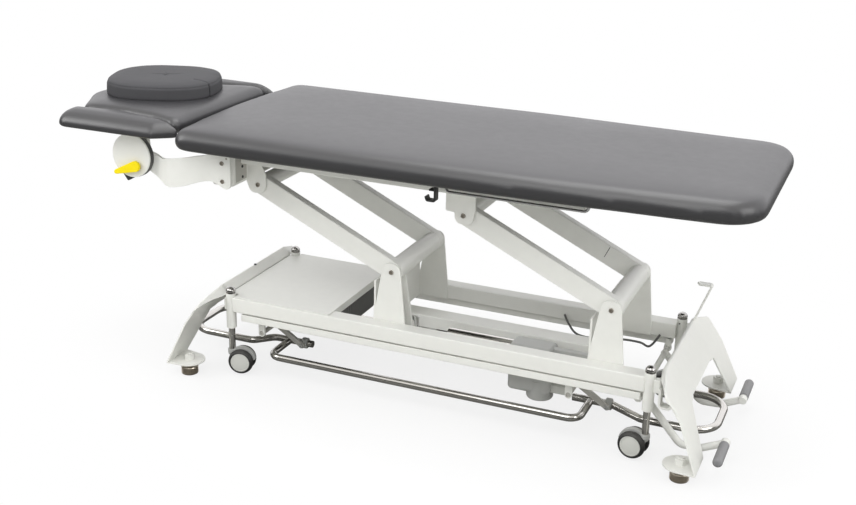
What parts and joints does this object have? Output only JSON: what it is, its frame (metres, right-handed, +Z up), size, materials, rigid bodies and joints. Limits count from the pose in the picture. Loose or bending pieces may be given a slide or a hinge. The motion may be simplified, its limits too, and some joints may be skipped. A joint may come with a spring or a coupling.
{
  "type": "treatment table",
  "caption": "Electric treatment table: padded top, tilting head section with face hole, parallel lift arms, and a wheeled rail base with a run-round foot bar.",
  "frame": {"origin": "middle of the overall box, on the floor", "axes": "+X towards the foot end, -Y towards the side with the lock lever, +Z up"},
  "size_m": [2.037, 0.714, 0.8063],
  "materials": {
    "off_white_paint": "satin powder coat",
    "grey_vinyl": "grained soft vinyl",
    "plywood": "raw board",
    "chrome": "bright plate",
    "dark_steel": "dark, threaded",
    "black_tyre": "matt rubber tread",
    "grey_plastic": "moulded",
    "dark_plastic": "moulded",
    "grey_rubber": "moulded",
    "yellow_plastic": "moulded"
  },
  "bodies": {
    "base": {"rail_near": "off_white_paint", "rail_far": "off_white_paint", "centre_beam": "off_white_paint", "tower_head": "off_white_paint", "tower_foot": "off_white_paint", "cover_panel": "off_white_paint", "control_box": "dark_plastic", "end_plate_head": "off_white_paint", "end_plate_foot": "off_white_paint", "pivot_shaft_head": "dark_steel", "pivot_shaft_foot": "dark_steel", "actuator": "grey_plastic", "motor_cable": "dark_plastic", "levelling_foot_near_head": "dark_steel", "levelling_foot_near_foot": "dark_steel", "levelling_foot_far_head": "dark_steel", "levelling_foot_far_foot": "dark_steel"},
    "pedals": {"pedal_frame": "off_white_paint", "pedal_grip_near": "grey_rubber", "pedal_grip_far": "grey_rubber"},
    "link_bar_near": {"link_bar_near": "off_white_paint"},
    "link_bar_far": {"link_bar_far": "off_white_paint"},
    "bar_crank_head": {"bar_crank_head": "off_white_paint"},
    "bar_crank_foot": {"bar_crank_foot": "off_white_paint"},
    "foot_bar": {"foot_bar_head": "chrome", "foot_bar_foot": "chrome", "foot_bar_near": "chrome", "foot_bar_far": "chrome"},
    "head_arm": {"lift_arm_head": "off_white_paint"},
    "foot_arm": {"lift_arm_foot": "off_white_paint"},
    "actuator_rod": {"actuator_rod": "chrome"},
    "table": {"head_crossbeam": "off_white_paint", "table_frame": "off_white_paint", "board": "plywood", "main_cushion": "grey_vinyl", "side_rod": "chrome", "handset_hook": "dark_plastic", "support_arm_near": "off_white_paint", "support_arm_far": "off_white_paint"},
    "head_section": {"hinge_drum_near": "off_white_paint", "hinge_drum_far": "off_white_paint", "head_board": "off_white_paint", "centre_pad": "grey_vinyl", "armrest_near": "grey_vinyl", "armrest_far": "grey_vinyl"},
    "pillow": {"pillow": "grey_vinyl"},
    "lock_lever": {"lock_lever": "yellow_plastic"},
    "castor_stem_near_head": {"castor_stem_near_head": "chrome"},
    "castor_fork_near_head": {"castor_housing_near_head": "grey_plastic"},
    "castor_wheel_near_head": {"castor_wheel_near_head": "black_tyre"},
    "castor_stem_near_foot": {"castor_stem_near_foot": "chrome"},
    "castor_fork_near_foot": {"castor_housing_near_foot": "grey_plastic"},
    "castor_wheel_near_foot": {"castor_wheel_near_foot": "black_tyre"},
    "castor_stem_far_head": {"castor_stem_far_head": "chrome"},
    "castor_fork_far_head": {"castor_housing_far_head": "grey_plastic"},
    "castor_wheel_far_head": {"castor_wheel_far_head": "black_tyre"},
    "castor_stem_far_foot": {"castor_stem_far_foot": "chrome"},
    "castor_fork_far_foot": {"castor_housing_far_foot": "grey_plastic"},
    "castor_wheel_far_foot": {"castor_wheel_far_foot": "black_tyre"}
  },
  "joints": [
    {"name": "lift", "type": "hinge", "parent": "base", "child": "head_arm", "pos_m": [0.0225, 0, 0.3857], "axis": [0, 1, 0], "range_deg": [-25, 43]},
    {"name": "table_level", "type": "hinge", "parent": "head_arm", "child": "table", "pos_m": [-0.39316, 0, 0.58041], "axis": [0, 1, 0], "range_deg": [-43.1, 25.1]},
    {"name": "foot_arm_swing", "type": "hinge", "parent": "base", "child": "foot_arm", "pos_m": [0.644, 0, 0.3857], "axis": [0, 1, 0], "range_deg": [-25.1, 43.1]},
    {"name": "actuator_stroke", "type": "slide", "parent": "base", "child": "actuator_rod", "axis": [1, 0, 0], "range_m": [-0.14559, 0.08473]},
    {"name": "head_tilt", "type": "hinge", "parent": "table", "child": "head_section", "pos_m": [-0.7535, 0, 0.641], "axis": [0, 1, 0], "range_deg": [-75, 0]},
    {"name": "pillow_lift_off", "type": "slide", "parent": "head_section", "child": "pillow", "axis": [0, 0, 1], "range_m": [0, 0.12]},
    {"name": "lever_turn", "type": "hinge", "parent": "head_section", "child": "lock_lever", "pos_m": [-0.7395, -0.2527, 0.609], "axis": [0, 1, 0], "range_deg": [-30, 30]},
    {"name": "pedal_swing", "type": "hinge", "parent": "base", "child": "pedals", "pos_m": [0.7365, 0, 0.162], "axis": [0, -1, 0], "range_deg": [0, 16]},
    {"name": "link_bar_slide_near", "type": "slide", "parent": "base", "child": "link_bar_near", "axis": [1, 0, 0], "range_m": [-0.00566, 0]},
    {"name": "link_bar_slide_far", "type": "slide", "parent": "base", "child": "link_bar_far", "axis": [1, 0, 0], "range_m": [-0.00566, 0]},
    {"name": "castor_drop_near_head", "type": "slide", "parent": "base", "child": "castor_stem_near_head", "axis": [0, 0, 1], "range_m": [-0.01211, 0]},
    {"name": "castor_swivel_near_head", "type": "hinge", "parent": "castor_stem_near_head", "child": "castor_fork_near_head", "pos_m": [-0.4735, -0.196, 0.092], "axis": [0, 0, 1], "continuous": true},
    {"name": "castor_roll_near_head", "type": "hinge", "parent": "castor_fork_near_head", "child": "castor_wheel_near_head", "pos_m": [-0.44536, -0.18898, 0.0405], "axis": [-0.2419, 0.9703, 0], "continuous": true},
    {"name": "castor_drop_near_foot", "type": "slide", "parent": "base", "child": "castor_stem_near_foot", "axis": [0, 0, 1], "range_m": [-0.01211, 0]},
    {"name": "castor_swivel_near_foot", "type": "hinge", "parent": "castor_stem_near_foot", "child": "castor_fork_near_foot", "pos_m": [0.7665, -0.196, 0.092], "axis": [0, 0, 1], "continuous": true},
    {"name": "castor_roll_near_foot", "type": "hinge", "parent": "castor_fork_near_foot", "child": "castor_wheel_near_foot", "pos_m": [0.73778, -0.19196, 0.0405], "axis": [-0.1392, -0.9903, 0], "continuous": true},
    {"name": "castor_drop_far_head", "type": "slide", "parent": "base", "child": "castor_stem_far_head", "axis": [0, 0, 1], "range_m": [-0.01211, 0]},
    {"name": "castor_swivel_far_head", "type": "hinge", "parent": "castor_stem_far_head", "child": "castor_fork_far_head", "pos_m": [-0.4735, 0.196, 0.092], "axis": [0, 0, 1], "continuous": true},
    {"name": "castor_roll_far_head", "type": "hinge", "parent": "castor_fork_far_head", "child": "castor_wheel_far_head", "pos_m": [-0.44494, 0.20104, 0.0405], "axis": [-0.1736, 0.9848, 0], "continuous": true},
    {"name": "castor_drop_far_foot", "type": "slide", "parent": "base", "child": "castor_stem_far_foot", "axis": [0, 0, 1], "range_m": [-0.01211, 0]},
    {"name": "castor_swivel_far_foot", "type": "hinge", "parent": "castor_stem_far_foot", "child": "castor_fork_far_foot", "pos_m": [0.7665, 0.196, 0.092], "axis": [0, 0, 1], "continuous": true},
    {"name": "castor_roll_far_foot", "type": "hinge", "parent": "castor_fork_far_foot", "child": "castor_wheel_far_foot", "pos_m": [0.73757, 0.19802, 0.0405], "axis": [-0.0698, -0.9976, 0], "continuous": true},
    {"name": "bar_crank_head_swing", "type": "hinge", "parent": "base", "child": "bar_crank_head", "pos_m": [-0.392, 0, 0.124], "axis": [0, 1, 0], "range_deg": [-7, 7], "stiffness_Nm_per_rad": 150},
    {"name": "bar_crank_foot_swing", "type": "hinge", "parent": "base", "child": "bar_crank_foot", "pos_m": [0.546, 0, 0.124], "axis": [0, 1, 0], "range_deg": [-7.1, 7.1]},
    {"name": "foot_bar_level", "type": "hinge", "parent": "bar_crank_head", "child": "foot_bar", "pos_m": [-0.304, 0, 0.068], "axis": [0, 1, 0], "range_deg": [-7.1, 7.1]}
  ],
  "couplings": [
    {"joint": "table_level", "follows": "lift", "ratio": -1},
    {"joint": "foot_arm_swing", "follows": "lift", "ratio": 1},
    {"joint": "actuator_stroke", "follows": "lift", "m_per_rad": -0.19372},
    {"joint": "link_bar_slide_near", "follows": "pedal_swing", "m_per_rad": -0.0199},
    {"joint": "link_bar_slide_far", "follows": "pedal_swing", "m_per_rad": -0.0199},
    {"joint": "castor_drop_near_head", "follows": "pedal_swing", "m_per_rad": -0.043},
    {"joint": "castor_drop_near_foot", "follows": "pedal_swing", "m_per_rad": -0.043},
    {"joint": "castor_drop_far_head", "follows": "pedal_swing", "m_per_rad": -0.043},
    {"joint": "castor_drop_far_foot", "follows": "pedal_swing", "m_per_rad": -0.043},
    {"joint": "bar_crank_foot_swing", "follows": "bar_crank_head_swing", "ratio": 1},
    {"joint": "foot_bar_level", "follows": "bar_crank_head_swing", "ratio": -1}
  ]
}
